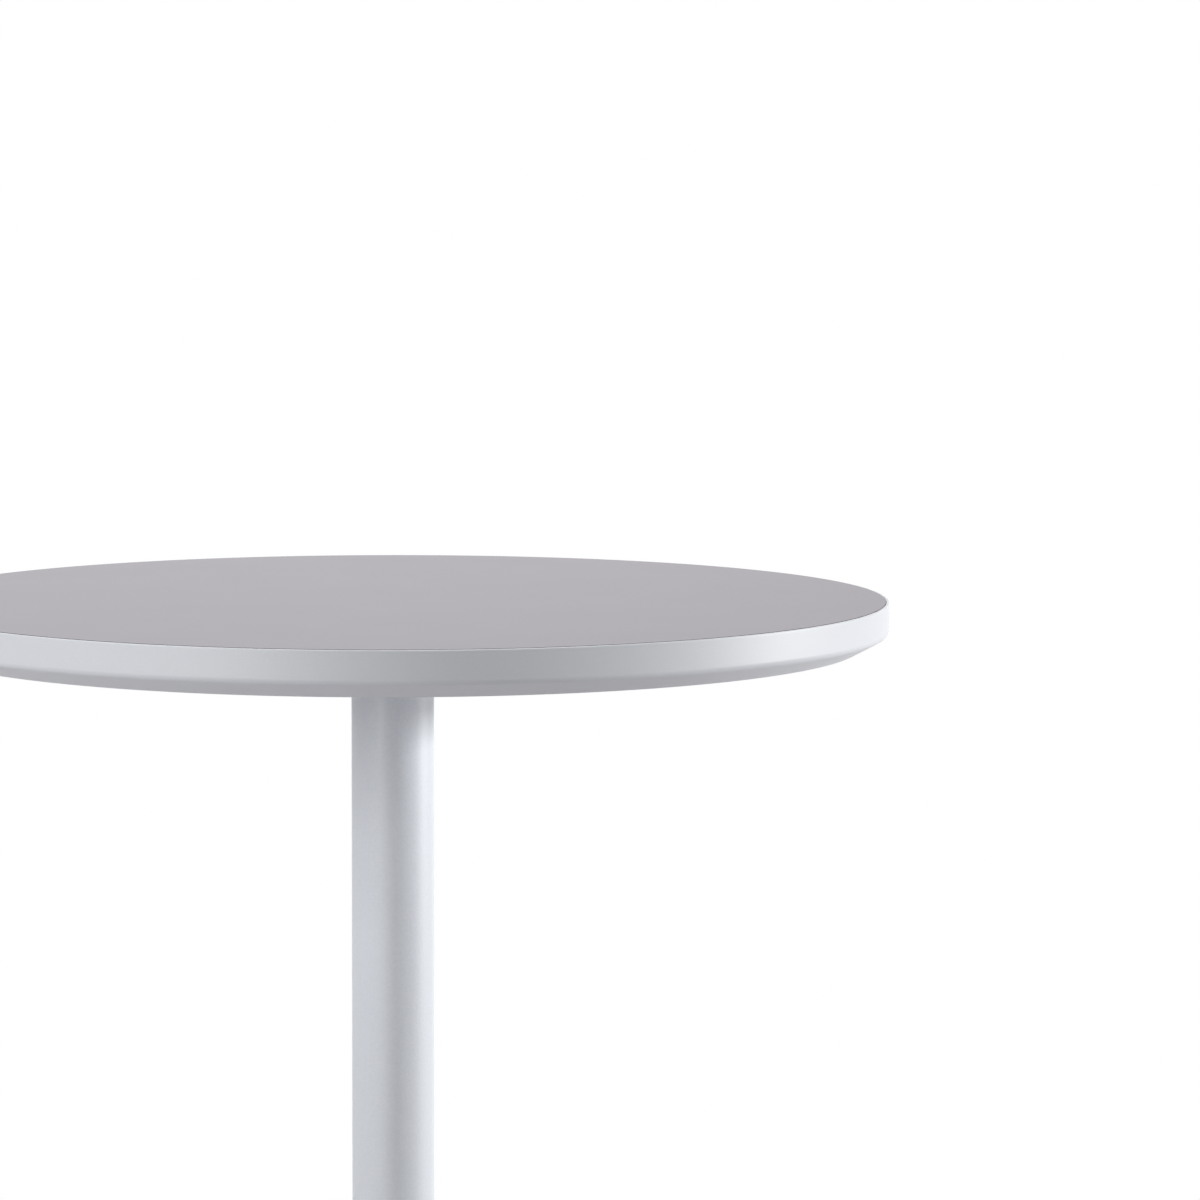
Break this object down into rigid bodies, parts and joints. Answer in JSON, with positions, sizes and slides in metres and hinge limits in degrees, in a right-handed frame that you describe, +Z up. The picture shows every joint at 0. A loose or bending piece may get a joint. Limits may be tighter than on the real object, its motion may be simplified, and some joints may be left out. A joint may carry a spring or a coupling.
{
  "type": "bar table",
  "caption": "Round bar table: light grey laminate top with a white bevelled edge, on a white tubular column and a flat disc base with screw-in levelling feet.",
  "frame": {"origin": "on the floor under the feet, on the column's axis", "axes": "+Z up along the column; the top is round, so X and Y only place the feet on the diagonals"},
  "size_m": [0.6, 0.6, 1.1],
  "materials": {
    "laminate_grey": "matt light grey high-pressure laminate",
    "edge_white": "satin white lipping",
    "core_board": "raw board",
    "backing_white": "matt white backing laminate",
    "powder_white": "fine-textured white powder coat",
    "zinc_steel": "zinc plated",
    "foot_plastic": "moulded dark grey plastic"
  },
  "bodies": {
    "table": {"top_laminate": "laminate_grey", "edge_lipping": "edge_white", "top_core": "core_board", "backing_laminate": "backing_white", "insert_nuts": "zinc_steel", "mounting_plate": "powder_white", "mounting_washers": "zinc_steel", "mounting_screws": "zinc_steel", "upper_hub": "powder_white", "hub_weld": "powder_white", "column_tube": "powder_white", "tie_rod": "zinc_steel", "clamp_washer": "zinc_steel", "spring_washer": "zinc_steel", "tie_rod_nut": "zinc_steel", "base_plate": "powder_white", "base_spigot": "zinc_steel"},
    "foot_pad_1": {"foot_pad_1": "foot_plastic"},
    "foot_stud_1": {"foot_stud_1": "zinc_steel"},
    "foot_pad_2": {"foot_pad_2": "foot_plastic"},
    "foot_stud_2": {"foot_stud_2": "zinc_steel"},
    "foot_pad_3": {"foot_pad_3": "foot_plastic"},
    "foot_stud_3": {"foot_stud_3": "zinc_steel"},
    "foot_pad_4": {"foot_pad_4": "foot_plastic"},
    "foot_stud_4": {"foot_stud_4": "zinc_steel"}
  },
  "joints": [
    {"name": "foot_1_height", "type": "slide", "parent": "table", "child": "foot_pad_1", "axis": [0, 0, -1], "range_m": [0, 0.005]},
    {"name": "foot_1_turn", "type": "hinge", "parent": "foot_pad_1", "child": "foot_stud_1", "pos_m": [0.13789, 0.13789, 0.013], "axis": [0, 0, -1], "range_deg": [0, 1440]},
    {"name": "foot_2_height", "type": "slide", "parent": "table", "child": "foot_pad_2", "axis": [0, 0, -1], "range_m": [0, 0.005]},
    {"name": "foot_2_turn", "type": "hinge", "parent": "foot_pad_2", "child": "foot_stud_2", "pos_m": [-0.13789, 0.13789, 0.013], "axis": [0, 0, -1], "range_deg": [0, 1440]},
    {"name": "foot_3_height", "type": "slide", "parent": "table", "child": "foot_pad_3", "axis": [0, 0, -1], "range_m": [0, 0.005]},
    {"name": "foot_3_turn", "type": "hinge", "parent": "foot_pad_3", "child": "foot_stud_3", "pos_m": [-0.13789, -0.13789, 0.013], "axis": [0, 0, -1], "range_deg": [0, 1440]},
    {"name": "foot_4_height", "type": "slide", "parent": "table", "child": "foot_pad_4", "axis": [0, 0, -1], "range_m": [0, 0.005]},
    {"name": "foot_4_turn", "type": "hinge", "parent": "foot_pad_4", "child": "foot_stud_4", "pos_m": [0.13789, -0.13789, 0.013], "axis": [0, 0, -1], "range_deg": [0, 1440]}
  ],
  "couplings": [
    {"joint": "foot_1_height", "follows": "foot_1_turn", "m_per_rad": 0.00019894},
    {"joint": "foot_2_height", "follows": "foot_2_turn", "m_per_rad": 0.00019894},
    {"joint": "foot_3_height", "follows": "foot_3_turn", "m_per_rad": 0.00019894},
    {"joint": "foot_4_height", "follows": "foot_4_turn", "m_per_rad": 0.00019894}
  ]
}
